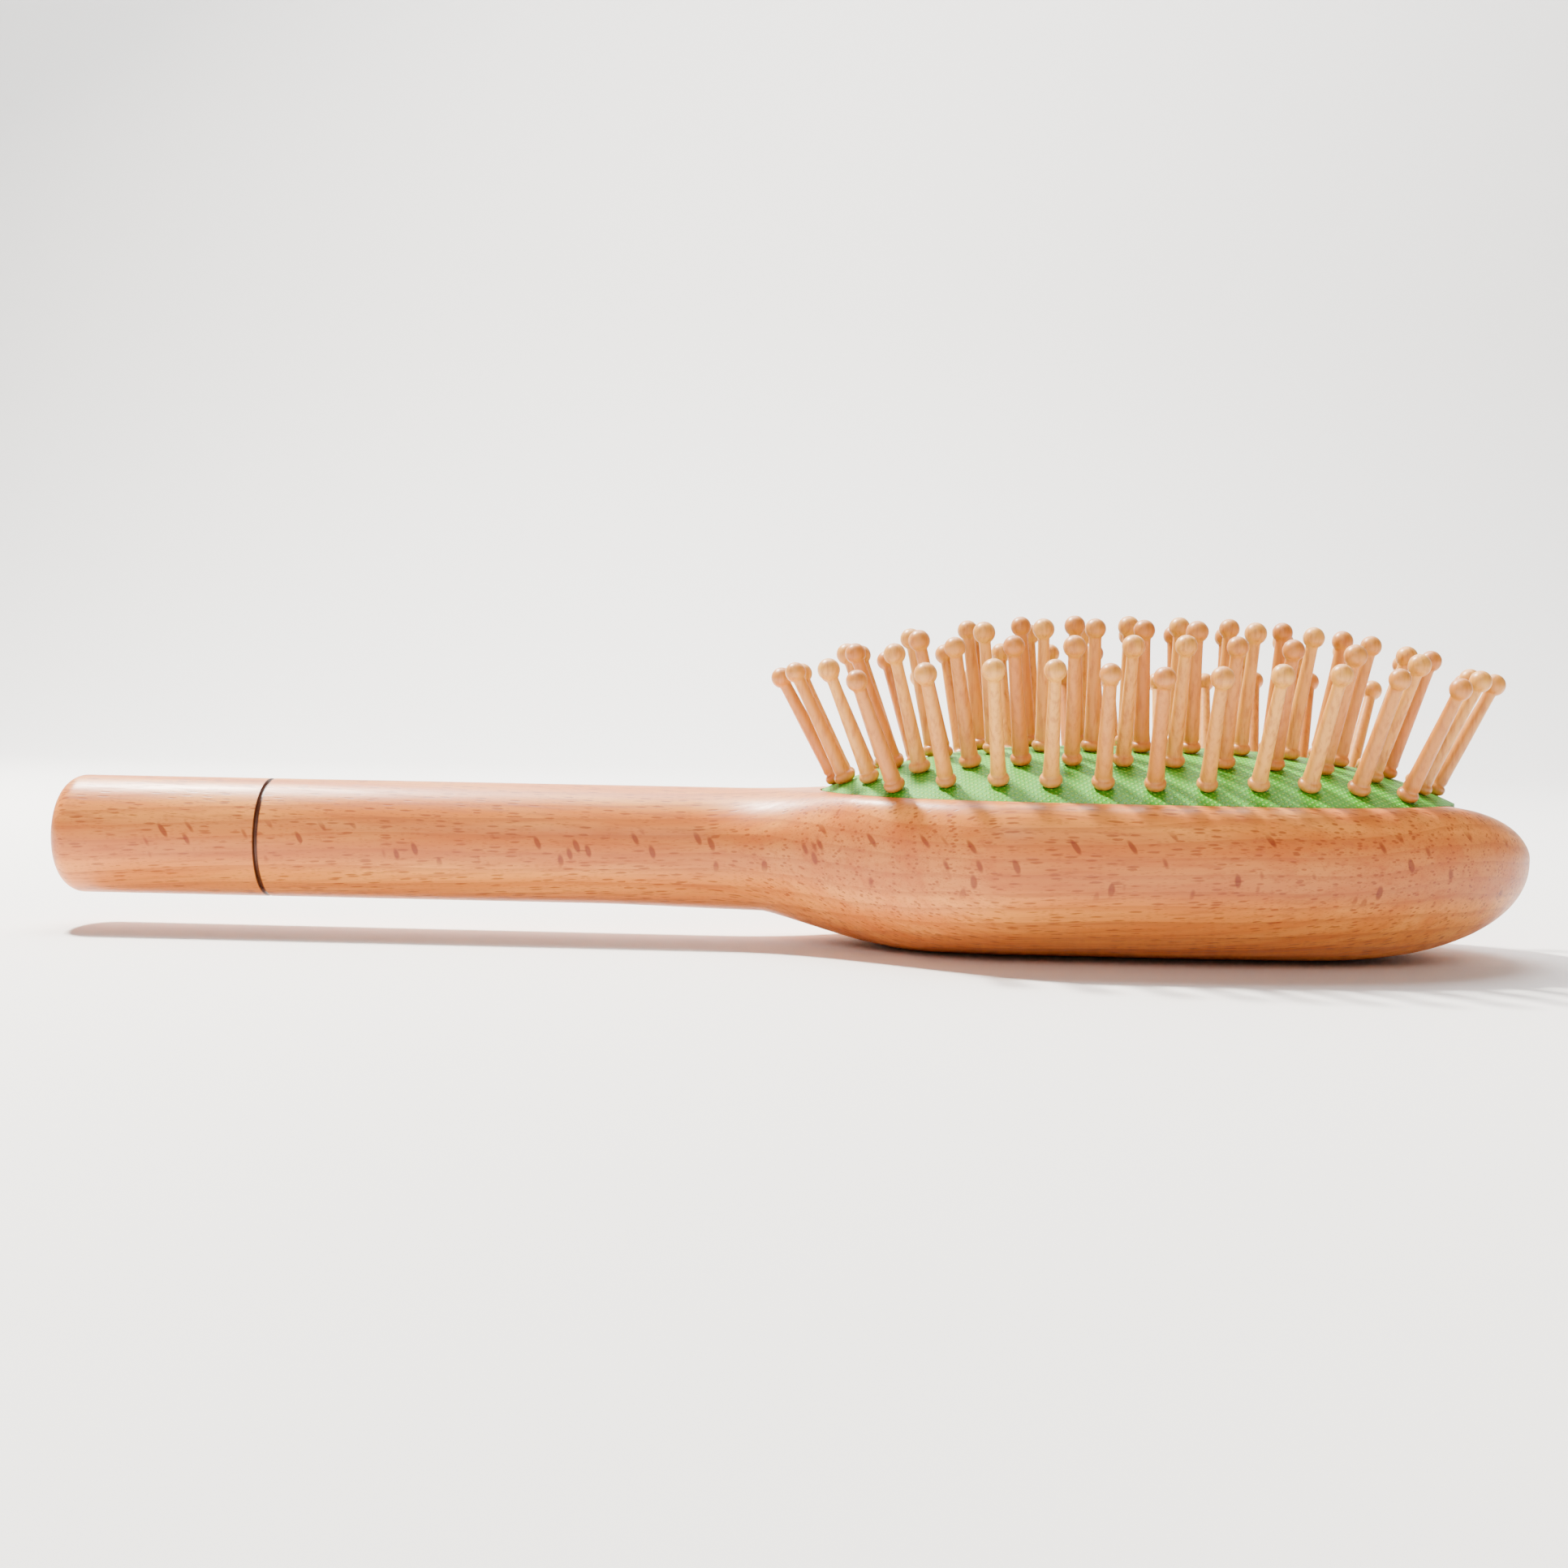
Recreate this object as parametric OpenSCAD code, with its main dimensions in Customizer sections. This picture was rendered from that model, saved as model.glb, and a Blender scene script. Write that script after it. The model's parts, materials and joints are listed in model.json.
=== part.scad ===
// Oval cushion brush: a one-piece beech head and handle, a domed rubber cushion in an oval recess,
// and seven rows of turned wooden pins held in the cushion. It lies on its back, pins up, with +X
// from the handle to the nose, and the origin under the middle of its length.

/* [Overall] */
// Length from the handle's end to the nose
brush_l = 225;
// Height of the flat rim, above the back of the head
rim_z = 23.6; // [23:0.1:25]

/* [Handle] */
// Diameter of the handle
handle_d = 18.4; // [17.5:0.1:18.6]
// Distance of the burnt ring from the handle's end
ring_at = 32.6; // [28:0.1:40]
// Width of the burnt ring's groove
ring_w = 0.6; // [0.4:0.1:1]
// Depth of the burnt ring's groove
ring_depth = 0.5; // [0.2:0.1:0.8]

/* [Head] */
// Width of the head at its widest level
head_w = 64; // [62:0.5:70]
// Length of the head's oval, from the nose to the neck
head_l = 118.2; // [116:0.2:120]
// Height of the head's widest level
equator_z = 15.5; // [15:0.1:16]

/* [Cushion] */
// Length of the visible oval of the cushion
cushion_l = 95.2; // [94:0.2:96]
// Width of the visible oval of the cushion
cushion_w = 53.6; // [53:0.2:54]
// Height of the dome above the rim
dome_h = 7.5; // [6:0.1:8]
// Thickness of the rubber
rubber_t = 1.2; // [1:0.1:1.4]
// Depth of the air chamber below the rim
chamber_depth = 9.6; // [9:0.1:11]

/* [Pins] */
// Distance between pins along a row
pin_pitch = 7.28; // [7:0.01:7.3]
// Distance between rows
row_pitch = 7.6; // [7.2:0.1:7.7]
// Length of a pin above the cushion
pin_l = 19.9; // [17:0.1:22]
// Diameter of the ball tip
ball_d = 3.2; // [2.8:0.1:3.4]
// Diameter of the shank just below the ball
shank_d = 1.84; // [1.6:0.01:2]
// Diameter of the collar that stands on the rubber
collar_d = 3.2; // [2.8:0.1:3.4]
// How far the pins fan out, as a share of the dome's own slope
fan = 1.25; // [1:0.05:1.35]

/* [Hidden] */

handle_r = handle_d / 2;
handle_z = rim_z - handle_r;
back_x = -brush_l / 2;
nose_x = brush_l / 2;
head_a = head_l / 2;
head_x = nose_x - head_a;

// the oval of the cushion: |x/a|^3 + |y/b|^2 = 1, which is blunter at its ends than an ellipse
cushion_a = cushion_l / 2;
cushion_b = cushion_w / 2;
bead_out = 1.5;        // the rubber's bead beyond the visible oval
bead_h = 1.6;          // height of the bead
bead_drop = 3.2;       // depth of the bead's underside below the rim
bead_gap = 0.05;       // slack round the bead in its groove
lip_gap = 0.05;        // slack between the rubber's wall and the recess
oval_steps = 96;
dome_rings = 9;

// rows run along X; each has a number of pins, and a shift in pitches
row_shift = [0, 0, 0, -0.2, 0, 0, 0];
row_pins = [11, 12, 13, 13, 13, 12, 11];
row_curve = 0.4;       // how much the outer rows bend in towards the ends of the oval
row_count = 7;
middle_row = 4;
pair_rows = [[1, 7], [2, 6], [3, 5], [4]];

// a pin along its own axis, from the surface of the rubber
neck_r = 0.8;
neck_gap = 0.12;       // slack between a pin's neck and its hole in the rubber
tail_top = -1.6;       // underside of the rubber, and the top of the pin's head inside the chamber
tail_end = -3.0;
tail_r = 1.4;
collar_from = 0.15;
wander = 1.6;          // degrees by which a pin may stray from its direction

function two_digits(n) = n < 10 ? str("0", n) : str(n);
function pin_node(p, k) = str("pins_", len(pair_rows[p - 1]) == 2
    ? str("rows_", pair_rows[p - 1][0], "_", pair_rows[p - 1][1])
    : str("row_", pair_rows[p - 1][0]), "_place_", two_digits(k));

function ease(t) = let (u = min(max(t, 0), 1)) u * u * (3 - 2 * u);
function sgn(v) = v < 0 ? -1 : 1;

// ---- the wooden body ----

// half width at x: the neck swells smoothly into the head, and the nose is half an oval
neck_start = -14;
neck_l = 50;
nose_power = 2.15;     // 2 is an ellipse, and more is blunter
function half_width(x) = x < head_x
    ? handle_r + (head_w / 2 - handle_r) * ease((x - neck_start) / neck_l)
    : head_w / 2 * sqrt(max(0, 1 - pow((x - head_x) / head_a, nose_power)));

nose_top_from = 96;    // where the top starts to curve down to the nose
nose_back_from = 76;   // where the back starts to curve up to the nose
heel_x = -3;           // where the handle's underside meets the heel of the head
heel_l = 26;
heel_z = 4.7;
heel_power = 1.15;     // above 1, the heel's curve starts more gently
back_land = 0.35;      // how far the back is planed flat
top_fall = [1.6, 0.6]; // the two powers of the top's curve down to the nose
back_power = 2.5;      // the same for the back's curve up to the nose
function top_z(x) = equator_z + (rim_z - equator_z)
    * pow(max(0, 1 - pow(max(0, x - nose_top_from) / (nose_x - nose_top_from), top_fall[0])), top_fall[1]);
function back_z(x) =
    x < heel_x ? handle_z - handle_r - (handle_z - handle_r - heel_z) * ease((x + 30) / 28)
    : x < nose_back_from ? heel_z - (heel_z + back_land)
        * pow(sin(90 * min(1, (x - heel_x) / heel_l)), heel_power)
    : equator_z - (equator_z + back_land)
        * sqrt(max(0, 1 - pow((x - nose_back_from) / (nose_x - nose_back_from), back_power)));
function level_z(x) = handle_z + (equator_z - handle_z) * ease((x + 20) / 40);
// 2 is an ellipse, and more is squarer
function upper_power(x) = 2 + 0.3 * ease((x + 8) / 20);
function lower_power(x) = 2 + 0.5 * ease((x + 5) / 30);
edge_w = 5.2;          // width of the rounding between the flat rim and the widest level
function flat_half(x) = max(0, half_width(x) - edge_w) * ease((x + 8) / 20);

section_steps = 64;
function section_point(x, inset, i) = let (
        turn = 360 * (i + 0.5) / section_steps,
        c = cos(turn),
        s = sin(turn),
        n = s >= 0 ? upper_power(x) : lower_power(x),
        flat = s >= 0 ? flat_half(x) : 0,
        rise = (s >= 0 ? top_z(x) - level_z(x) : level_z(x) - back_z(x)) - inset
    ) [
        x,
        sgn(c) * (flat + (half_width(x) - inset - flat) * pow(abs(c), 2 / n)),
        max(0, level_z(x) + rise * sgn(s) * pow(abs(s), 2 / n))
    ];

neck_from = -30;       // the handle is straight and round up to here
neck_steps = 34;
nose_steps = 16;
nose_near = 96;
cover = 0.04;          // how far the carved neck stands proud of the turned handle that ends inside it
root_x = -44;
root_inset = 1.6;
cover_x = -38;

// [x, how far the section is drawn in], from inside the turned handle to the nose
stations = [
    [root_x, root_inset],
    [cover_x, -cover],
    for (i = [0 : neck_steps - 1]) let (x = neck_from + (nose_near - neck_from) * i / neck_steps)
        [x, -cover * (1 - ease((x - neck_from) / -neck_from))],
    for (i = [0 : nose_steps - 1]) [nose_near + (nose_x - nose_near) * sin(90 * i / nose_steps), 0]
];

module carved_head() {
    count = len(stations);
    points = [
        for (t = stations) for (i = [0 : section_steps - 1]) section_point(t[0], t[1], i),
        [nose_x, 0, equator_z]
    ];
    tip = count * section_steps;
    polyhedron(points, [
        [for (i = [0 : section_steps - 1]) i],
        for (s = [0 : count - 2]) for (i = [0 : section_steps - 1]) let (
                a = s * section_steps + i,
                b = s * section_steps + (i + 1) % section_steps
            ) each [[a, a + section_steps, b], [b, a + section_steps, b + section_steps]],
        for (i = [0 : section_steps - 1])
            [(count - 1) * section_steps + i, tip, (count - 1) * section_steps + (i + 1) % section_steps]
    ]);
}

function round_points(cx, cy, r, a0, a1, steps) =
    [for (i = [0 : steps]) let (a = a0 + (a1 - a0) * i / steps) [cx + r * cos(a), cy + r * sin(a)]];

end_round = 3.2;       // rounding of the handle's end
handle_l = (cover_x + neck_from) / 2 - back_x;
groove_r = handle_r - ring_depth;

module turned_handle() {
    translate([back_x, 0, handle_z]) rotate([0, 90, 0]) rotate_extrude($fn = 96) polygon([
        [0, 0],
        each round_points(handle_r - end_round, end_round, end_round, -90, 0, 8),
        [handle_r, ring_at - ring_w / 2],
        [groove_r, ring_at - ring_w / 2],
        [groove_r, ring_at + ring_w / 2],
        [handle_r, ring_at + ring_w / 2],
        [handle_r, handle_l],
        [0, handle_l]
    ]);
}

// ---- the cushion's oval ----

function oval_point(grow, turn) = let (c = cos(turn), s = sin(turn))
    [(cushion_a + grow) * sgn(c) * pow(abs(c), 2 / 3), (cushion_b + grow) * s];
function oval(grow) = [for (i = [0 : oval_steps - 1]) oval_point(grow, 360 * i / oval_steps)];

module oval_block(grow, z, h) {
    translate([head_x, 0, z]) linear_extrude(h) polygon(oval(grow));
}

module brush_body() {
    color([0.80, 0.55, 0.37]) difference() {
        union() {
            turned_handle();
            carved_head();
        }
        oval_block(lip_gap, rim_z - chamber_depth, chamber_depth + 5);
        oval_block(bead_out + bead_gap, rim_z - bead_drop - bead_gap, bead_h + 2 * bead_gap);
    }
}

// height of the cushion's outer face above the rim, from the middle of the oval
function dome(x, y) = dome_h * (1 - pow(abs(x) / cushion_a, 3) - pow(abs(y) / cushion_b, 2));

module dome_solid(drop, floor_z) {
    points = [
        [0, 0, dome_h - drop],
        for (r = [1 : dome_rings]) let (share = sin(90 * r / dome_rings)) for (i = [0 : oval_steps - 1])
            let (p = oval_point(0, 360 * i / oval_steps) * share) [p[0], p[1], dome(p[0], p[1]) - drop],
        for (i = [0 : oval_steps - 1]) let (p = oval_point(0, 360 * i / oval_steps)) [p[0], p[1], floor_z]
    ];
    foot = 1 + dome_rings * oval_steps;
    polyhedron(points, [
        for (i = [0 : oval_steps - 1]) [0, 1 + (i + 1) % oval_steps, 1 + i],
        for (r = [0 : dome_rings - 1]) for (i = [0 : oval_steps - 1]) let (
                a = 1 + r * oval_steps + i,
                b = 1 + r * oval_steps + (i + 1) % oval_steps
            ) each [[a, b, a + oval_steps], [b, b + oval_steps, a + oval_steps]],
        [for (i = [0 : oval_steps - 1]) foot + i]
    ]);
}

module rubber_cushion() {
    color([0.45, 0.78, 0.28]) difference() {
        union() {
            translate([head_x, 0, rim_z]) dome_solid(0, -bead_drop);
            oval_block(bead_out, rim_z - bead_drop, bead_h);
        }
        intersection() {
            translate([head_x, 0, rim_z]) dome_solid(rubber_t, -bead_drop - 2);
            oval_block(-rubber_t, rim_z - bead_drop - 1, 30);
        }
        for (row = [1 : row_count]) for (k = [1 : row_pins[row - 1]])
            at_pin(row, k) translate([0, 0, -4]) cylinder(h = 6, r = neck_r + neck_gap, $fn = 12);
    }
}

// ---- the pins ----

function pin_x(row, k) = pin_pitch * (k - (row_pins[row - 1] + 1) / 2 + row_shift[row - 1]);
function pin_y(row, k) = row_pitch * (row - middle_row)
    * (1 - row_curve * pow(pin_x(row, k) / cushion_a, 2));
function scatter(row, k, seed) = sin(row * 131.7 + k * 73.3 + seed * 211.9);

module at_pin(row, k) {
    x = pin_x(row, k);
    y = pin_y(row, k);
    slope_x = fan * 3 * dome_h * x * abs(x) / pow(cushion_a, 3);
    slope_y = fan * 2 * dome_h * y / pow(cushion_b, 2);
    tilt = atan(norm([slope_x, slope_y]));
    heading = atan2(slope_y, slope_x);
    translate([head_x + x, y, rim_z + dome(x, y)])
        rotate([wander * scatter(row, k, 1), wander * scatter(row, k, 2), 0])
        rotate([0, 0, heading]) rotate([0, tilt, 0]) children();
}

module pin() {
    ball_r = ball_d / 2;
    ball_at = pin_l - ball_r;
    shank_r = shank_d / 2;
    ball_from = -acos(shank_r / ball_r);
    color([0.88, 0.70, 0.49]) rotate_extrude($fn = 48) polygon([
        [0, tail_end],
        [tail_r * 0.7, tail_end],
        [tail_r, tail_end + 0.5],
        [tail_r, tail_top - 0.3],
        [neck_r, tail_top],
        [neck_r, collar_from],
        [collar_d * 0.36, collar_from + 0.15],
        each round_points(collar_d / 2 - 0.8, collar_from + 1.0, 0.8, -60, 55, 6),
        [shank_r * 1.28, 2.9],
        [shank_r * 1.18, 6],
        [shank_r, ball_at - ball_r * sin(-ball_from) - 0.1],
        each round_points(0, ball_at, ball_r, ball_from, 90, 10)
    ]);
}

module pin_group(p, k) {
    for (row = pair_rows[p - 1]) at_pin(row, k) pin();
}

brush_body();
rubber_cushion();
for (p = [1 : len(pair_rows)]) for (k = [1 : row_pins[p - 1]])
    pin_group(p, k);
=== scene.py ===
"""Cushion hair brush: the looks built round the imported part, in metres, in the part's own frame."""
import json

import bpy
import numpy as np
from mathutils import Matrix, Vector

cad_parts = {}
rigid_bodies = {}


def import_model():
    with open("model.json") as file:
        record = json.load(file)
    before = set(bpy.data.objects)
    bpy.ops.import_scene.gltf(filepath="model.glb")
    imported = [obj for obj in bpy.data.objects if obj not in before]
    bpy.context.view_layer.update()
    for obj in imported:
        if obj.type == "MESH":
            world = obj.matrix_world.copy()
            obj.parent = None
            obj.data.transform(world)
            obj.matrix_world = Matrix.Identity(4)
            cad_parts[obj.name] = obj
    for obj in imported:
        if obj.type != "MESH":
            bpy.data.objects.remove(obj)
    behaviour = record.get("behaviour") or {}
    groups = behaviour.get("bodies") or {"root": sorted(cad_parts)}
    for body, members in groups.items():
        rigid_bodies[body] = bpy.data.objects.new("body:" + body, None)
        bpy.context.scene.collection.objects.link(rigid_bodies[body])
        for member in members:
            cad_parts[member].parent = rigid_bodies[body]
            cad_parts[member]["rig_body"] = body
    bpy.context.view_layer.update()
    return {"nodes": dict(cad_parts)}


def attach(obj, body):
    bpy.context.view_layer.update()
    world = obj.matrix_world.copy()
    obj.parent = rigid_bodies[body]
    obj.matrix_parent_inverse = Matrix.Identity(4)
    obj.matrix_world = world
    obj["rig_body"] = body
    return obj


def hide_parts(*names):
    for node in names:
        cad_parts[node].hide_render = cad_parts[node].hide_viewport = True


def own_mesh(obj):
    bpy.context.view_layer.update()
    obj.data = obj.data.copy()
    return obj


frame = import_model()

MM = 0.001
BODY = "handle_and_head"

# ---- the brush's own sizes, in millimetres ----
BACK_X, NOSE_X = -112.5, 112.5
END_ROUND = 3.2
ROUND_X = BACK_X + END_ROUND
EDGE_W = 5.2
RIM_Z = 23.6
HANDLE_R = 9.2
HANDLE_Z = RIM_Z - HANDLE_R
HEAD_A, HEAD_HALF, HEAD_X = 59.1, 32.0, 53.4
EQUATOR_Z = 15.5
RING_X, RING_HALF, RING_DEPTH = -79.9, 0.3, 0.5
CUSHION_A, CUSHION_B = 47.6, 26.8
DOME_H, RUBBER_T = 7.5, 1.2
PIN_PITCH, ROW_PITCH = 7.28, 7.6
PIN_L, BALL_R, SHANK_R, COLLAR_R = 19.9, 1.6, 0.92, 1.6
FAN, WANDER, ROW_CURVE = 1.25, 1.6, 0.4
ROW_PINS = [11, 12, 13, 13, 13, 12, 11]
MIDDLE_ROW, MIDDLE_SHIFT = 4, -0.2
PAIRS = [(1, 7), (2, 6), (3, 5), (4,)]


def ease(t):
    u = np.clip(t, 0, 1)
    return u * u * (3 - 2 * u)


def sign_power(v, p):
    return np.sign(v) * np.abs(v) ** p


# ---- mesh helpers ----

def mesh_object(name, points, faces, smooth=True):
    mesh = bpy.data.meshes.new(name)
    mesh.from_pydata((np.asarray(points) * MM).tolist(), [], faces)
    mesh.validate()
    if smooth:
        mesh.shade_smooth()
    obj = bpy.data.objects.new(name, mesh)
    bpy.context.scene.collection.objects.link(obj)
    return obj


def loop_faces(loops, around, start=0):
    """Quads between successive closed loops of the same number of points."""
    faces = []
    for s in range(loops - 1):
        a = start + s * around
        for i in range(around):
            j = (i + 1) % around
            faces.append((a + i, a + j, a + around + j, a + around + i))
    return faces


# ---- the beech body ----

def half_width(x):
    if x < HEAD_X:
        return HANDLE_R + (HEAD_HALF - HANDLE_R) * ease((x + 14) / 50)
    return HEAD_HALF * np.sqrt(np.maximum(0, 1 - ((x - HEAD_X) / HEAD_A) ** 2.15))


def top_z(x):
    t = np.clip((x - 96) / (NOSE_X - 96), 0, 1)
    return EQUATOR_Z + (RIM_Z - EQUATOR_Z) * (1 - t ** 1.6) ** 0.6


def back_z(x):
    handle = HANDLE_Z - HANDLE_R - 0.5 * ease((x + 30) / 28)
    heel = 4.7 - 5.05 * np.sin(np.pi / 2 * np.clip((x + 3) / 26, 0, 1)) ** 1.15
    t = np.clip((x - 76) / (NOSE_X - 76), 0, 1)
    nose = EQUATOR_Z - 15.85 * np.sqrt(1 - t ** 2.5)
    return np.where(x < -3, handle, np.where(x < 76, heel, nose))


def sections(xs, around):
    """Closed loops of the body's outer surface, one at each x."""
    turn = np.linspace(0, 2 * np.pi, around, endpoint=False)
    c, s = np.cos(turn), np.sin(turn)
    loops = []
    for x in xs:
        level = HANDLE_Z + (EQUATOR_Z - HANDLE_Z) * ease((x + 20) / 40)
        upper = 2 + 0.3 * ease((x + 8) / 20)
        lower = 2 + 0.5 * ease((x + 5) / 30)
        n = np.where(s >= 0, upper, lower)
        rise = np.where(s >= 0, top_z(x) - level, level - back_z(x))
        wide = half_width(x)
        if x < ROUND_X:
            drop = END_ROUND * (1 - np.sqrt(max(0, 1 - ((ROUND_X - x) / END_ROUND) ** 2)))
            shrink = 1 - drop / HANDLE_R
            wide, rise = wide * shrink, rise * shrink
        cut = RING_DEPTH * (1 - ease((abs(x - RING_X) - RING_HALF + 0.08) / 0.16))
        wide, rise = wide - cut, rise - cut
        flat = np.where(s >= 0, max(0, wide - EDGE_W) * ease((x + 8) / 20), 0)
        y = np.sign(c) * (flat + (wide - flat) * np.abs(c) ** (2 / n))
        z = np.maximum(level + rise * sign_power(s, 2 / n), 0)
        loops.append(np.stack([np.full(around, x), y, z], 1))
    return loops


def wood_body():
    around = 192
    end = ROUND_X - END_ROUND * np.sin(np.linspace(np.pi / 2, 0, 14))
    groove = RING_X + np.linspace(-0.5, 0.5, 25)
    straight = np.linspace(-108.6, -30, 80)
    straight = straight[np.abs(straight - RING_X) > 0.6]
    neck = np.linspace(-29.5, 95.5, 260)
    nose = 96 + (NOSE_X - 96) * np.sin(np.linspace(0, np.pi / 2, 46))[:-1]
    xs = np.sort(np.concatenate([end, groove, straight, neck, nose]))
    loops = sections(xs, around)
    points = np.concatenate(loops + [[[BACK_X, 0, HANDLE_Z], [NOSE_X, 0, EQUATOR_Z]]])
    faces = loop_faces(len(xs), around)
    faces = [tuple(reversed(f)) for f in faces]
    first, last = len(points) - 2, len(points) - 1
    base = (len(xs) - 1) * around
    for i in range(around):
        j = (i + 1) % around
        faces.append((first, j, i))
        faces.append((last, base + i, base + j))
    return mesh_object("beech_body", points, faces)


def oval(grow, around):
    turn = np.linspace(0, 2 * np.pi, around, endpoint=False)
    return np.stack([(CUSHION_A + grow) * sign_power(np.cos(turn), 2 / 3),
                     (CUSHION_B + grow) * np.sin(turn)], 1)


def recess_cutter():
    """The recess with a softened edge, and the groove for the rubber's bead."""
    around = 192
    steps = [(0.1, RIM_Z - 9.6), (0.1, RIM_Z - 3.25), (1.55, RIM_Z - 3.25), (1.55, RIM_Z - 1.55),
             (0.1, RIM_Z - 1.55), (0.05, RIM_Z - 0.45), (0.08, RIM_Z - 0.22), (0.15, RIM_Z - 0.08),
             (0.28, RIM_Z + 0.001), (0.3, RIM_Z + 3)]
    points = []
    for grow, z in steps:
        p = oval(grow, around)
        points.append(np.column_stack([p[:, 0] + HEAD_X, p[:, 1], np.full(around, z)]))
    points = np.concatenate(points)
    faces = loop_faces(len(steps), around)
    faces.append(tuple(reversed(range(around))))
    faces.append(tuple(range(len(points) - around, len(points))))
    return mesh_object("recess_cutter", points, faces, smooth=False)


def cut(obj, cutter):
    step = obj.modifiers.new("recess", "BOOLEAN")
    step.operation = "DIFFERENCE"
    step.solver = "EXACT"
    step.object = cutter
    graph = bpy.context.evaluated_depsgraph_get()
    mesh = bpy.data.meshes.new_from_object(obj.evaluated_get(graph))
    obj.modifiers.clear()
    obj.data = mesh
    bpy.data.objects.remove(cutter)
    mesh.shade_smooth()
    mesh.set_sharp_from_angle(angle=np.radians(38))


# ---- the rubber cushion ----

def dome(x, y):
    return DOME_H * (1 - np.abs(x / CUSHION_A) ** 3 - np.abs(y / CUSHION_B) ** 2)


def rubber():
    around, rings = 288, 56
    edge = oval(0, around)
    loops = []
    for share in np.sin(np.linspace(0, np.pi / 2, rings + 1))[1:]:
        p = edge * share
        loops.append(np.column_stack([p, dome(p[:, 0], p[:, 1])]))
    for grow, z in [(0, -0.5), (0, -1.6), (1.45, -1.65), (1.45, -3.15), (-1.2, -3.2)]:
        loops.append(np.column_stack([oval(grow, around), np.full(around, z)]))
    inner = oval(-RUBBER_T, around)
    for share in np.linspace(1, 0, 14)[:-1]:
        p = inner * share
        loops.append(np.column_stack([p, dome(p[:, 0], p[:, 1]) - RUBBER_T]))
    points = np.concatenate(loops + [[[0, 0, DOME_H], [0, 0, DOME_H - RUBBER_T]]])
    faces = [tuple(reversed(f)) for f in loop_faces(len(loops), around)]
    top, under = len(points) - 2, len(points) - 1
    base = (len(loops) - 1) * around
    for i in range(around):
        j = (i + 1) % around
        faces.append((top, i, j))
        faces.append((under, base + j, base + i))
    obj = mesh_object("rubber_dome", points + np.array([HEAD_X, 0, RIM_Z]), faces)
    obj.data.set_sharp_from_angle(angle=np.radians(50))
    return obj


# ---- the turned pins ----

def scatter(row, k, seed):
    return np.sin(np.radians(row * 131.7 + k * 73.3 + seed * 211.9))


def pin_place(row, k):
    """Where a pin stands on the cushion, and its direction, as a 4 by 4 matrix in millimetres."""
    shift = MIDDLE_SHIFT if row == MIDDLE_ROW else 0
    x = PIN_PITCH * (k - (ROW_PINS[row - 1] + 1) / 2 + shift)
    y = ROW_PITCH * (row - MIDDLE_ROW) * (1 - ROW_CURVE * (x / CUSHION_A) ** 2)
    slope = Vector((FAN * 3 * DOME_H * x * abs(x) / CUSHION_A ** 3,
                    FAN * 2 * DOME_H * y / CUSHION_B ** 2, 0))
    tilt = np.arctan(slope.length)
    heading = np.arctan2(slope.y, slope.x)
    stray_x = np.radians(WANDER * scatter(row, k, 1))
    stray_y = np.radians(WANDER * scatter(row, k, 2))
    return (Matrix.Translation((HEAD_X + x, y, RIM_Z + dome(x, y)))
            @ Matrix.Rotation(stray_y, 4, "Y") @ Matrix.Rotation(stray_x, 4, "X")
            @ Matrix.Rotation(heading, 4, "Z") @ Matrix.Rotation(tilt, 4, "Y"))


def pin_profile(row, k):
    """(radius, height) pairs from the head inside the cushion to the tip; each pin differs a little."""
    thick = 1 + 0.05 * scatter(row, k, 3)
    ball = BALL_R * (1 + 0.035 * scatter(row, k, 4))
    collar = COLLAR_R * (1 + 0.05 * scatter(row, k, 5))
    shank = SHANK_R * thick
    ball_at = PIN_L - ball
    foot = [(0, -3), (0.98, -3), (1.4, -2.5), (1.4, -1.9),
            (0.8, -1.6), (0.8, -0.3), (0.8, 0.02), (0.92, 0.08)]
    turn = np.radians(np.linspace(-70, 62, 14))
    bulge = [(collar - 0.82 + 0.82 * np.cos(a), 0.92 + 0.82 * np.sin(a)) for a in turn]
    taper = [(shank * r, z) for r, z in
             [(1.34, 2.15), (1.27, 2.9), (1.22, 4.4), (1.18, 6.5), (1.12, 9.5), (1.05, 12.5), (1.0, 15.2)]]
    start = -np.arccos(min(1, shank * 1.02 / ball))
    taper.append((shank * 0.99, ball_at + ball * np.sin(start) - 0.35))
    arc = [(ball * np.cos(a), ball_at + ball * np.sin(a)) for a in np.linspace(start, np.pi / 2, 16)]
    arc[-1] = (0, arc[-1][1])
    return foot + bulge + taper + arc


def pin_group(name, members):
    around = 28
    turn = np.linspace(0, 2 * np.pi, around, endpoint=False)
    points, faces, lengths, tones = [], [], [], []
    for row, k in members:
        profile = pin_profile(row, k)
        place = np.array(pin_place(row, k))
        start = len(points)
        for i, (r, z) in enumerate(profile):
            bend = 0.05 * scatter(row, k, 6) * np.sin(np.pi * np.clip(z / PIN_L, 0, 1))
            oval_r = r * (1 + 0.012 * scatter(row, k, 7) * np.cos(2 * turn + i * 0.2))
            ring = np.column_stack([oval_r * np.cos(turn) + bend, oval_r * np.sin(turn),
                                    np.full(around, z), np.ones(around)])
            points.extend((ring @ place.T)[:, :3])
            lengths.extend(zip(turn / (2 * np.pi) + row, np.full(around, z / PIN_L)))
            tones.extend([scatter(row, k, 8) * 0.5 + 0.5] * around)
        faces += [tuple(f) for f in loop_faces(len(profile), around, start)]
    obj = mesh_object(name, points, faces)
    tone = obj.data.attributes.new("tone", "FLOAT", "POINT")
    tone.data.foreach_set("value", np.array(tones, np.float32))
    along = obj.data.uv_layers.new(name="along")
    for loop in obj.data.loops:
        along.data[loop.index].uv = lengths[loop.vertex_index]
    return obj


# ---- materials ----

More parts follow.
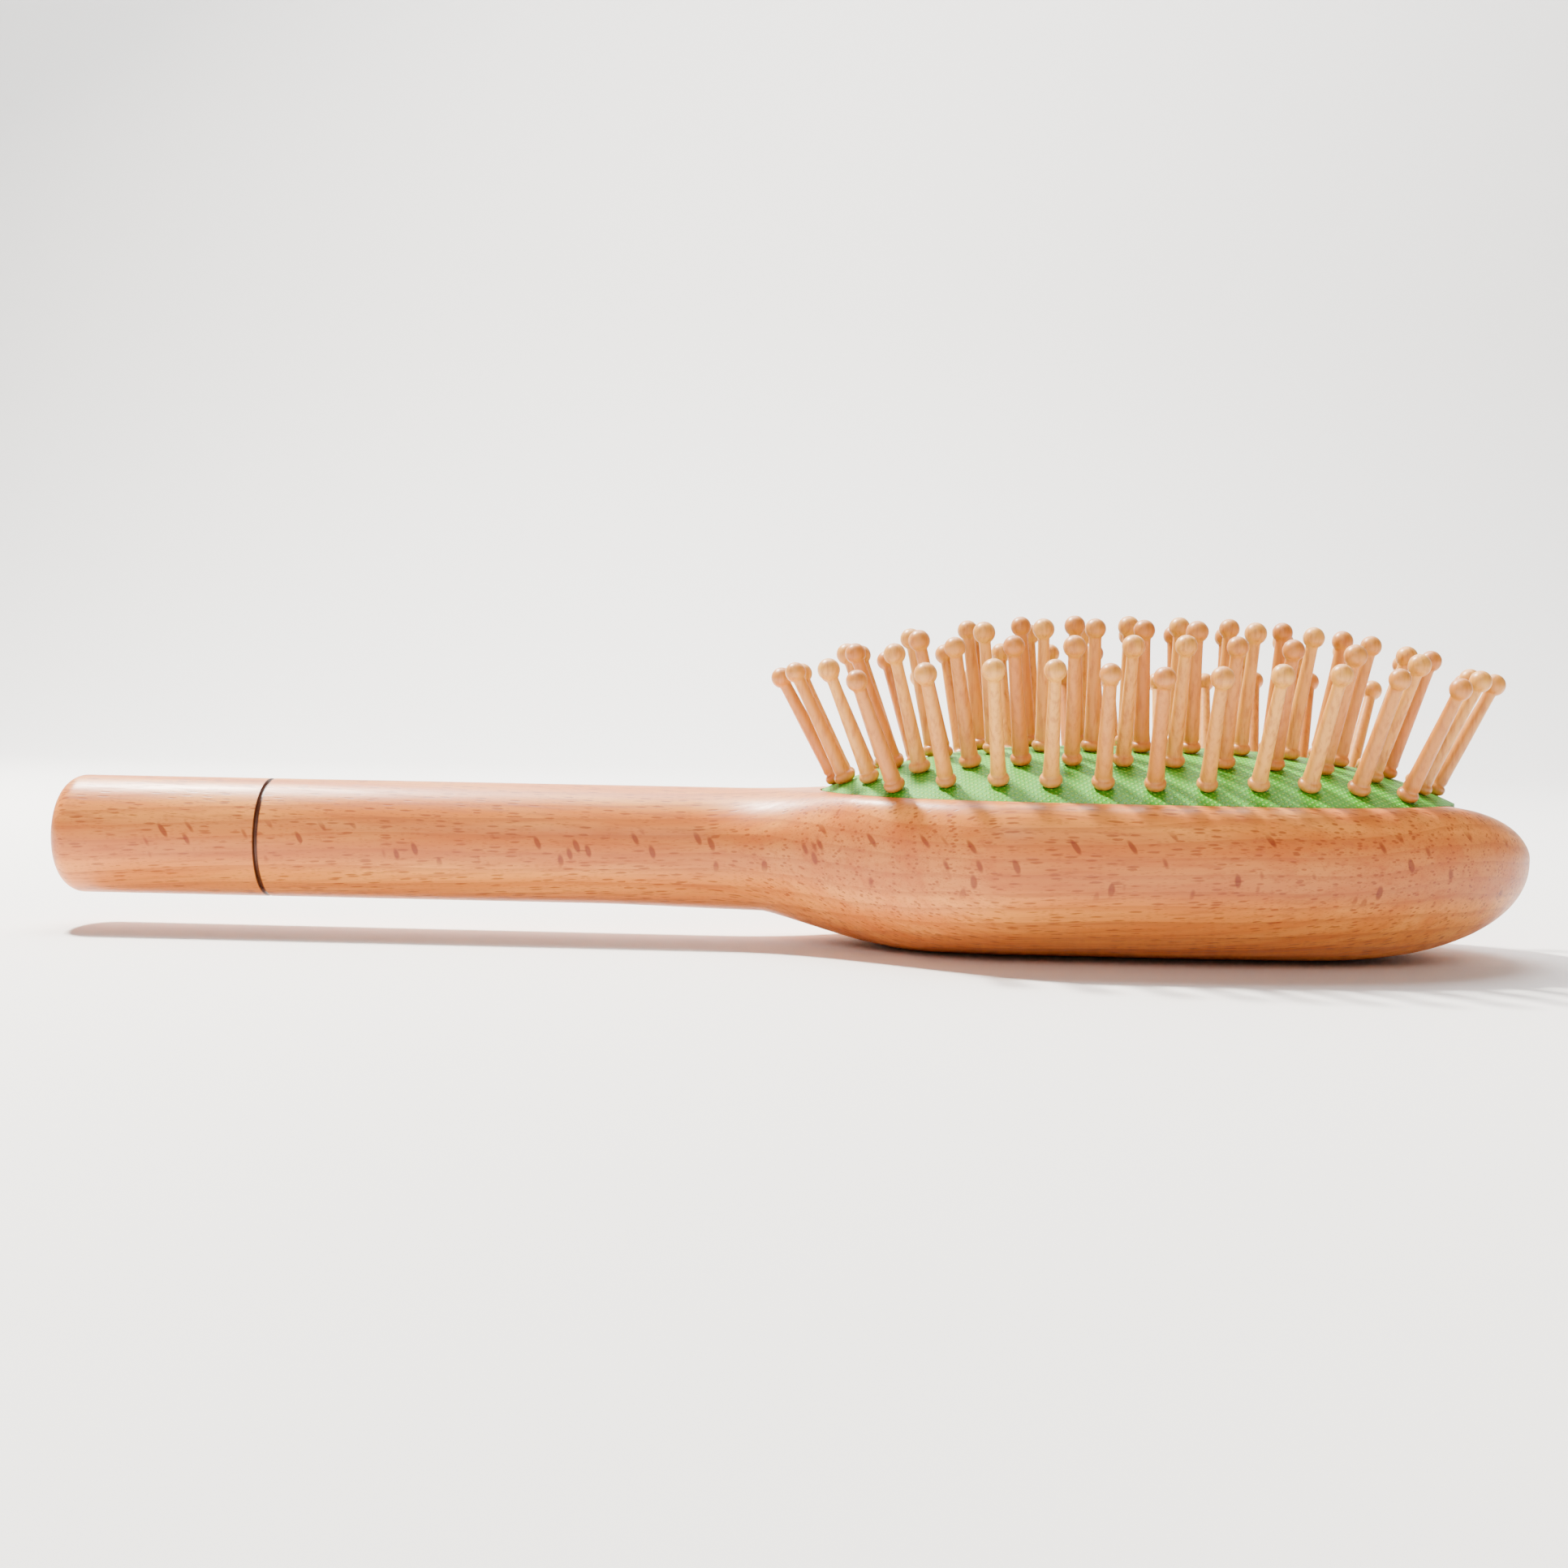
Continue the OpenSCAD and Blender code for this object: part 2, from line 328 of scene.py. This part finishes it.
def node(tree, kind, inputs=None, **props):
    made = tree.nodes.new(kind)
    for key, value in props.items():
        setattr(made, key, value)
    for key, value in (inputs or {}).items():
        socket = made.inputs[key]
        if isinstance(value, bpy.types.NodeSocket):
            tree.links.new(value, socket)
        else:
            socket.default_value = value
    return made


def calc(tree, operation, *values):
    made = node(tree, "ShaderNodeMath", dict(enumerate(values)), operation=operation)
    return made.outputs[0]


def remap(tree, value, low, high, to_low=0.0, to_high=1.0):
    return node(tree, "ShaderNodeMapRange", {0: value, 1: low, 2: high, 3: to_low, 4: to_high},
                interpolation_type="SMOOTHSTEP").outputs[0]


def blend(tree, factor, a, b):
    return node(tree, "ShaderNodeMix", {0: factor, 6: a, 7: b}, data_type="RGBA").outputs[2]


def stretched(tree, point, scale, offset=(0, 0, 0)):
    return node(tree, "ShaderNodeMapping", {"Vector": point, "Location": offset, "Scale": scale}).outputs[0]


def noise(tree, point, scale=1.0, detail=3.0, rough=0.55):
    return node(tree, "ShaderNodeTexNoise", {"Vector": point, "Scale": scale, "Detail": detail,
                                             "Roughness": rough}).outputs["Fac"]


def material(name):
    made = bpy.data.materials.new(name)
    made.use_nodes = True
    tree = made.node_tree
    return made, tree, tree.nodes["Principled BSDF"]


def rgb(r, g, b):
    """A colour as it looks on a screen, 0 to 255, turned into light."""
    channels = [c / 255 for c in (r, g, b)]
    return tuple(c / 12.92 if c <= 0.04045 else ((c + 0.055) / 1.055) ** 2.4 for c in channels) + (1.0,)


def beech():
    made, tree, bsdf = material("beech")
    point = node(tree, "ShaderNodeTexCoord").outputs["Object"]
    # a slow wave makes the grain run a little slanted and uneven
    sway = noise(tree, stretched(tree, point, (9, 14, 14)), 1.0, 2.0)
    drift = node(tree, "ShaderNodeCombineXYZ", {"Y": calc(tree, "MULTIPLY", sway, 0.004),
                                                "Z": calc(tree, "MULTIPLY", sway, 0.007)}).outputs[0]
    swayed = node(tree, "ShaderNodeVectorMath", {0: point, 1: drift}, operation="ADD").outputs[0]
    grain = node(tree, "ShaderNodeVectorRotate", {"Vector": swayed, "Angle": 0.03},
                 rotation_type="Y_AXIS").outputs[0]
    grain = node(tree, "ShaderNodeVectorRotate", {"Vector": grain, "Angle": 0.07},
                 rotation_type="Z_AXIS").outputs[0]
    split = node(tree, "ShaderNodeSeparateXYZ", {0: grain})
    # growth rings about a heart far below the brush
    ring_y = calc(tree, "ADD", split.outputs["Y"], 0.02)
    ring_z = calc(tree, "ADD", split.outputs["Z"], 0.11)
    radius = calc(tree, "SQRT", calc(tree, "ADD", calc(tree, "MULTIPLY", ring_y, ring_y),
                                     calc(tree, "MULTIPLY", ring_z, ring_z)))
    wobble = noise(tree, stretched(tree, grain, (6, 60, 60)), 1.0, 2.0)
    rings = calc(tree, "FRACT", calc(tree, "ADD", calc(tree, "MULTIPLY", radius, 430.0),
                                     calc(tree, "MULTIPLY", wobble, 2.2)))
    late = remap(tree, rings, 0.62, 0.98)
    late = calc(tree, "MULTIPLY", late, remap(tree, rings, 1.0, 0.985))
    # fibres, long and thin
    fibre = noise(tree, stretched(tree, grain, (45, 1900, 1500)), 1.0, 3.0, 0.62)
    streak = noise(tree, stretched(tree, grain, (14, 330, 260), (3, 1, 2)), 1.0, 3.0)
    cloud = noise(tree, stretched(tree, point, (22, 60, 60), (5, 5, 5)), 1.0, 2.0)

    bow = calc(tree, "SUBTRACT", split.outputs["Z"], 0.0155)
    bow = calc(tree, "MULTIPLY", calc(tree, "MULTIPLY", bow, bow), 55.0)
    bowed = node(tree, "ShaderNodeVectorMath",
                 {0: point, 1: node(tree, "ShaderNodeCombineXYZ", {"X": bow}).outputs[0]}).outputs[0]

    # medullary rays: thin upright lenses, seen as dashes from above and as crescents from the side
    def rays(scale, size, share, offset, along=grain):
        cells = node(tree, "ShaderNodeTexVoronoi",
                     {"Vector": stretched(tree, along, scale, offset), "Scale": 1.0, "Randomness": 1.0},
                     feature="F1")
        lens = remap(tree, cells.outputs["Distance"], size, size * 0.55)
        lot = node(tree, "ShaderNodeSeparateColor", {0: cells.outputs["Color"]}).outputs[0]
        chosen = calc(tree, "GREATER_THAN", lot, 1 - share)
        return calc(tree, "MULTIPLY", lens, chosen)

    dashes = rays((360, 2600, 2300), 0.46, 0.36, (0, 0, 0))
    small = rays((900, 5200, 4600), 0.42, 0.5, (4, 7, 1))
    normal = node(tree, "ShaderNodeSeparateXYZ", {0: node(tree, "ShaderNodeNewGeometry").outputs["Normal"]})
    # level marks the upright sides: it shows the rays as crescents there, and it also paints shade on those
    # sides
    level = remap(tree, calc(tree, "ABSOLUTE", normal.outputs["Z"]), 0.4, 0.2)
    crescents = calc(tree, "MULTIPLY", rays((640, 60, 300), 0.38, 0.4, (2, 2, 5), bowed), level)

    colour = blend(tree, remap(tree, streak, 0.3, 0.72), rgb(234, 152, 66), rgb(210, 116, 40))
    colour = blend(tree, remap(tree, cloud, 0.35, 0.7, 0.0, 0.35), colour, rgb(212, 114, 46))
    colour = blend(tree, calc(tree, "MULTIPLY", late, 0.4), colour, rgb(170, 84, 34))
    colour = blend(tree, remap(tree, fibre, 0.46, 0.74, 0.0, 0.6), colour, rgb(178, 92, 40))
    # painted shade: the upright sides of the body are darkened because they face away from the light above
    colour = blend(tree, calc(tree, "MULTIPLY", level, 0.42), colour, rgb(160, 72, 32))
    colour = blend(tree, calc(tree, "MULTIPLY", dashes, 0.6), colour, rgb(128, 50, 18))
    colour = blend(tree, calc(tree, "MULTIPLY", small, 0.3), colour, rgb(128, 52, 20))
    colour = blend(tree, calc(tree, "MULTIPLY", crescents, 0.75), colour, rgb(118, 38, 14))
    # the burnt ring round the handle
    place = node(tree, "ShaderNodeSeparateXYZ", {0: point})
    off = calc(tree, "ABSOLUTE", calc(tree, "SUBTRACT", place.outputs["X"], RING_X * MM))
    burnt = remap(tree, calc(tree, "ADD", off, calc(tree, "MULTIPLY", cloud, 0.0002)), 0.00062, 0.00038)
    colour = blend(tree, calc(tree, "MULTIPLY", burnt, 0.93), colour, rgb(66, 30, 18))
    tree.links.new(colour, bsdf.inputs["Base Color"])
    tree.links.new(remap(tree, fibre, 0.3, 0.8, 0.36, 0.5), bsdf.inputs["Roughness"])
    peel = noise(tree, stretched(tree, point, (1100, 1500, 1500)), 1.0, 2.0)
    height = calc(tree, "ADD", calc(tree, "MULTIPLY", fibre, 0.6), calc(tree, "MULTIPLY", peel, 0.5))
    height = calc(tree, "SUBTRACT", height, calc(tree, "MULTIPLY", dashes, 0.5))
    bump = node(tree, "ShaderNodeBump", {"Height": height, "Strength": 0.35, "Distance": 0.00006})
    tree.links.new(bump.outputs[0], bsdf.inputs["Normal"])
    bsdf.inputs["Coat Weight"].default_value = 0.07
    bsdf.inputs["Coat Roughness"].default_value = 0.25
    bsdf.inputs["Specular IOR Level"].default_value = 0.32
    return made


def green_rubber():
    made, tree, bsdf = material("green_rubber")
    point = node(tree, "ShaderNodeTexCoord").outputs["Object"]
    turned = node(tree, "ShaderNodeVectorRotate", {"Vector": point, "Angle": 0.785}, rotation_type="Z_AXIS")
    split = node(tree, "ShaderNodeSeparateXYZ", {0: turned.outputs[0]})
    pitch = 2 * np.pi / 0.00078
    across = calc(tree, "SINE", calc(tree, "MULTIPLY", split.outputs["X"], pitch))
    along = calc(tree, "SINE", calc(tree, "MULTIPLY", split.outputs["Y"], pitch))
    dots = remap(tree, calc(tree, "ADD", across, along), 0.4, 1.7)
    cloud = noise(tree, stretched(tree, point, (60, 60, 60)), 1.0, 3.0)
    dust = noise(tree, stretched(tree, point, (2600, 2600, 2600)), 1.0, 2.0)
    colour = blend(tree, remap(tree, cloud, 0.35, 0.7), rgb(50, 150, 0), rgb(62, 164, 4))
    colour = blend(tree, calc(tree, "MULTIPLY", dots, 0.7), colour, rgb(150, 214, 60))
    tree.links.new(colour, bsdf.inputs["Base Color"])
    tree.links.new(remap(tree, dust, 0.3, 0.7, 0.5, 0.64), bsdf.inputs["Roughness"])
    height = calc(tree, "ADD", dots, calc(tree, "MULTIPLY", dust, 0.12))
    bump = node(tree, "ShaderNodeBump", {"Height": height, "Strength": 0.8, "Distance": 0.00016})
    tree.links.new(bump.outputs[0], bsdf.inputs["Normal"])
    bsdf.inputs["Subsurface Weight"].default_value = 0.08
    bsdf.inputs["Subsurface Radius"].default_value = (0.0008, 0.002, 0.0005)
    return made


def turned_wood():
    made, tree, bsdf = material("turned_wood")
    along = node(tree, "ShaderNodeUVMap", uv_map="along").outputs[0]
    point = node(tree, "ShaderNodeTexCoord").outputs["Object"]
    tone = node(tree, "ShaderNodeAttribute", attribute_name="tone").outputs["Fac"]
    fibre = noise(tree, stretched(tree, point, (1700, 1700, 210)), 1.0, 3.0, 0.6)
    rings = noise(tree, stretched(tree, along, (1, 260, 1)), 1.0, 1.0)
    patch = noise(tree, stretched(tree, point, (140, 140, 90)), 1.0, 2.0)
    colour = blend(tree, tone, rgb(232, 166, 70), rgb(206, 130, 46))
    colour = blend(tree, remap(tree, fibre, 0.42, 0.74, 0.0, 0.6), colour, rgb(172, 92, 28))
    colour = blend(tree, remap(tree, patch, 0.5, 0.75, 0.0, 0.3), colour, rgb(204, 126, 58))
    height = node(tree, "ShaderNodeSeparateXYZ", {0: along}).outputs["Y"]
    # painted shade: each pin is darkened towards its foot, where it meets the cushion
    foot = remap(tree, height, 0.16, 0.02, 0.0, 0.35)
    colour = blend(tree, foot, colour, rgb(184, 104, 42))
    tree.links.new(colour, bsdf.inputs["Base Color"])
    tree.links.new(remap(tree, fibre, 0.3, 0.8, 0.36, 0.5), bsdf.inputs["Roughness"])
    relief = calc(tree, "ADD", calc(tree, "MULTIPLY", fibre, 0.7), calc(tree, "MULTIPLY", rings, 0.4))
    bump = node(tree, "ShaderNodeBump", {"Height": relief, "Strength": 0.4, "Distance": 0.00006})
    tree.links.new(bump.outputs[0], bsdf.inputs["Normal"])
    bsdf.inputs["Coat Weight"].default_value = 0.1
    bsdf.inputs["Coat Roughness"].default_value = 0.25
    bsdf.inputs["Subsurface Weight"].default_value = 0.15
    bsdf.inputs["Subsurface Radius"].default_value = (0.0012, 0.0007, 0.0003)
    return made


# ---- build ----

beech_wood, rubber_green, pin_wood = beech(), green_rubber(), turned_wood()

body = wood_body()
cut(body, recess_cutter())
body.data.materials.clear()
body.data.materials.append(beech_wood)
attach(body, BODY)
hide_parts("brush_body")

cushion = rubber()
cushion.data.materials.append(rubber_green)
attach(cushion, BODY)
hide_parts("rubber_cushion")
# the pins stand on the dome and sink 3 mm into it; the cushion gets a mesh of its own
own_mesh(cushion)

for rows in PAIRS:
    label = f"rows_{rows[0]}_{rows[1]}" if len(rows) == 2 else f"row_{rows[0]}"
    for k in range(1, ROW_PINS[rows[0] - 1] + 1):
        cad = f"pins_{label}_place_{k:02d}"
        pins = pin_group("turned_" + cad, [(row, k) for row in rows])
        pins.data.materials.append(pin_wood)
        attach(pins, frame["nodes"][cad]["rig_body"])
        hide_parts(cad)


# ---- floor, light and camera ----

def sweep():
    """A pale floor that curves up into a wall behind the brush."""
    depth = np.concatenate([np.linspace(-4000, 700, 30), 700 + 300 * np.sin(np.linspace(0, np.pi / 2, 16)),
                            np.full(12, 1000)])
    height = np.concatenate([np.zeros(30), 300 - 300 * np.cos(np.linspace(0, np.pi / 2, 16)),
                             np.linspace(330, 1800, 12)])
    points, faces = [], []
    for side in (-4000, 4000):
        points += [(side, d, h) for d, h in zip(depth, height)]
    count = len(depth)
    for i in range(count - 1):
        faces.append((i, i + count, i + count + 1, i + 1))
    floor = mesh_object("floor", points, faces)
    made, tree, bsdf = material("paper")
    bsdf.inputs["Base Color"].default_value = (0.9, 0.9, 0.9, 1)
    bsdf.inputs["Roughness"].default_value = 0.9
    floor.data.materials.append(made)


def area(name, at, towards, size, watts, colour=(1, 1, 1)):
    light = bpy.data.lights.new(name, "AREA")
    light.shape = "DISK"
    light.size = size
    light.energy = watts
    light.color = colour
    obj = bpy.data.objects.new(name, light)
    obj.location = at
    obj.rotation_euler = (Vector(towards) - Vector(at)).to_track_quat("-Z", "Y").to_euler()
    bpy.context.scene.collection.objects.link(obj)


sweep()
area("key", (-0.4, 0.3, 0.8), (0.05, 0, 0.02), 0.1, 36, (1, 0.94, 0.84))
area("front", (-0.15, -1.0, 0.6), (0, 0, 0.02), 0.5, 4.2, (1, 0.94, 0.87))
area("wall", (0.0, 0.55, 1.3), (0, 1.0, 0.25), 0.9, 30)
world = bpy.data.worlds.new("studio")
world.use_nodes = True
world.node_tree.nodes["Background"].inputs[0].default_value = (1, 1, 1, 1)
world.node_tree.nodes["Background"].inputs[1].default_value = 0.2
bpy.context.scene.world = world

PITCH, YAW, ROLL = 0.044, -0.045, 0.018
turn = Matrix.Rotation(ROLL, 3, "Y") @ Matrix.Rotation(PITCH, 3, "X") @ Matrix.Rotation(YAW, 3, "Z")
back = turn.transposed()
pivot = Vector((HEAD_X, 0, RIM_Z)) * MM
lens = bpy.data.cameras.new("camera")
lens.lens = 44.46
lens.sensor_width = 36
lens.clip_start = 0.01
camera = bpy.data.objects.new("camera", lens)
place = back @ Matrix.Rotation(np.pi / 2, 3, "X")
seat = pivot + back @ (Vector((-HEAD_X, -296.5, 1.76)) * MM)
camera.matrix_world = Matrix.Translation(seat) @ place.to_4x4()
bpy.context.scene.collection.objects.link(camera)
bpy.context.scene.camera = camera
